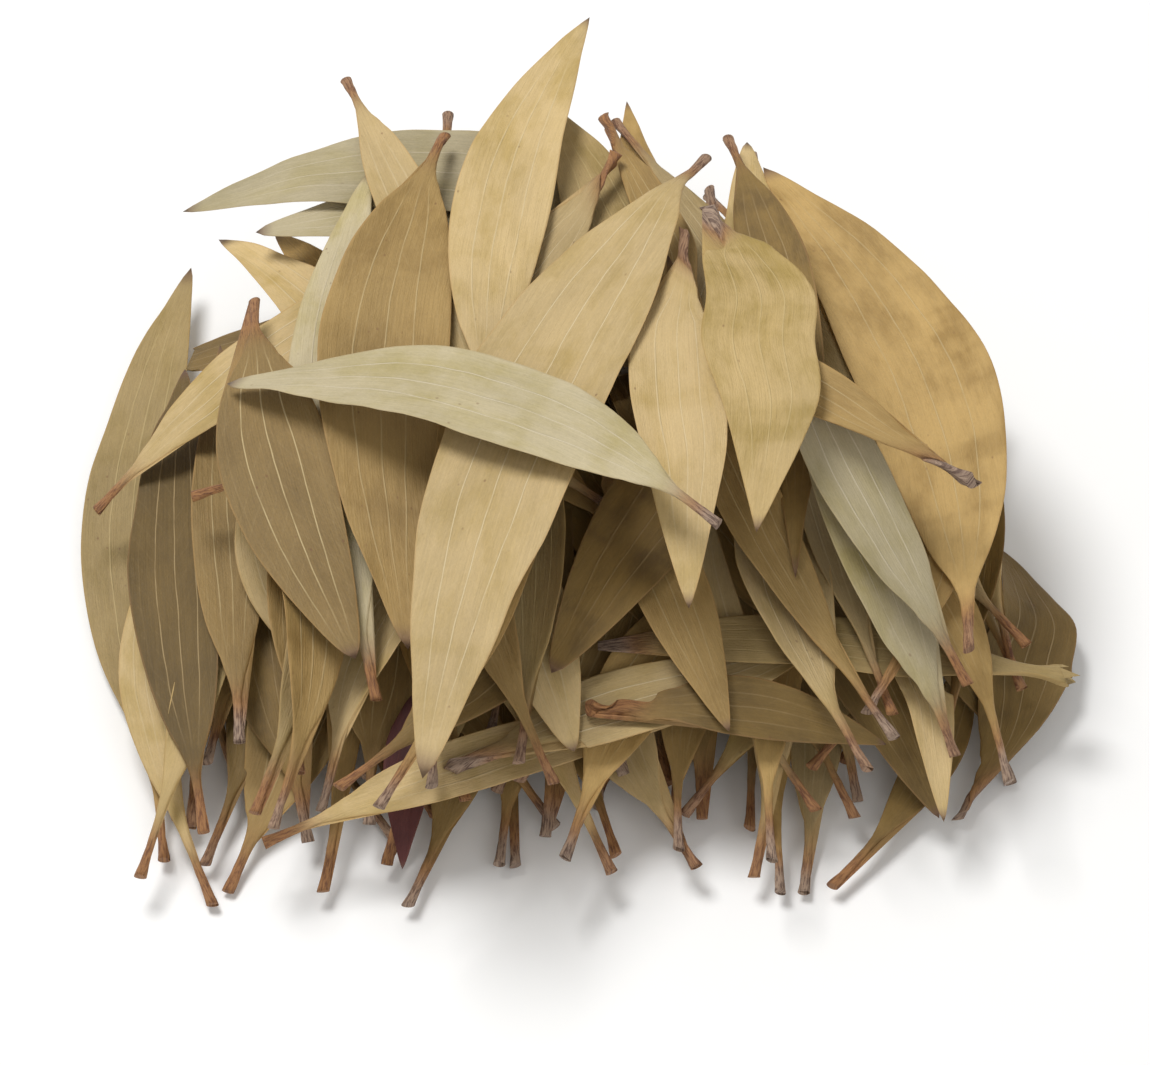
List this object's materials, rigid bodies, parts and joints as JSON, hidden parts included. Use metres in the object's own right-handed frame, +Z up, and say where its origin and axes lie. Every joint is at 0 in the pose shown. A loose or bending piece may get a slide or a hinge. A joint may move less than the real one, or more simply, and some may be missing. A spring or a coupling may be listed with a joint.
{
  "type": "heap of dried eucalyptus leaves",
  "caption": "loose heap of dried sickle-shaped eucalyptus leaves with bare petioles, lying on a flat surface",
  "frame": {"origin": "middle of the bounding box at the surface the heap lies on", "axes": "+Z up; +X to the right and +Y to the back, seen from the front, where most petioles lie"},
  "size_m": [0.1884, 0.1876, 0.0687],
  "materials": {
    "brown_leaf": "matt brown dried leaf, darker in patches",
    "olive_leaf": "matt olive dried leaf with pale lengthwise veins",
    "sage_leaf": "matt grey-green dried leaf with pale lengthwise veins",
    "straw_leaf": "matt straw-yellow dried leaf with pale lengthwise veins",
    "tan_leaf": "matt tan dried leaf with darker patches",
    "wine_leaf": "matt dark wine-red dried leaf"
  },
  "bodies": {
    "root": {"heart_leaf_1": "tan_leaf", "heart_leaf_2": "olive_leaf", "heart_leaf_3": "tan_leaf", "heart_leaf_4": "olive_leaf", "heart_leaf_5": "tan_leaf", "heart_leaf_6": "olive_leaf", "front_leaf_1": "tan_leaf", "front_leaf_2": "brown_leaf", "front_leaf_3": "olive_leaf", "front_leaf_4": "tan_leaf", "front_leaf_5": "brown_leaf", "front_leaf_6": "olive_leaf", "front_leaf_7": "tan_leaf", "front_leaf_8": "brown_leaf", "front_leaf_9": "olive_leaf", "front_leaf_10": "tan_leaf", "front_leaf_11": "brown_leaf", "wine_leaf": "wine_leaf", "dark_right_leaf": "brown_leaf", "pale_right_leaf": "straw_leaf", "curled_right_leaf": "brown_leaf", "crossing_front_leaf": "straw_leaf", "pale_front_leaf": "straw_leaf", "torn_front_leaf": "olive_leaf", "twisted_front_leaf": "brown_leaf", "torn_back_leaf": "brown_leaf", "upper_left_leaf_1": "tan_leaf", "upper_left_leaf_2": "straw_leaf", "dark_back_leaf": "brown_leaf", "back_petiole_leaf": "tan_leaf", "grey_cross_leaf": "sage_leaf", "back_cross_leaf": "sage_leaf", "outer_left_leaf": "olive_leaf", "dark_left_leaf": "brown_leaf", "narrow_left_leaf": "tan_leaf", "red_petiole_leaf": "brown_leaf", "orange_petiole_leaf": "straw_leaf", "sage_left_leaf": "sage_leaf", "wide_left_leaf": "tan_leaf", "left_tip_leaf": "straw_leaf", "right_tip_leaf": "tan_leaf", "brown_centre_leaf": "brown_leaf", "pink_tipped_leaf": "tan_leaf", "arched_back_leaf": "straw_leaf", "pale_back_leaf": "straw_leaf", "edge_on_leaf": "brown_leaf", "big_olive_leaf": "olive_leaf", "narrow_folded_leaf": "tan_leaf", "half_hidden_leaf": "straw_leaf", "back_left_leaf": "straw_leaf", "tan_left_leaf": "tan_leaf", "white_grey_leaf": "sage_leaf", "streaked_sage_leaf": "sage_leaf", "big_right_leaf": "tan_leaf", "thin_petiole_leaf": "tan_leaf", "folded_centre_leaf": "straw_leaf", "right_centre_leaf": "olive_leaf", "tall_back_leaf": "straw_leaf", "big_centre_leaf": "straw_leaf", "sage_top_leaf": "sage_leaf"}
  },
  "joints": []
}
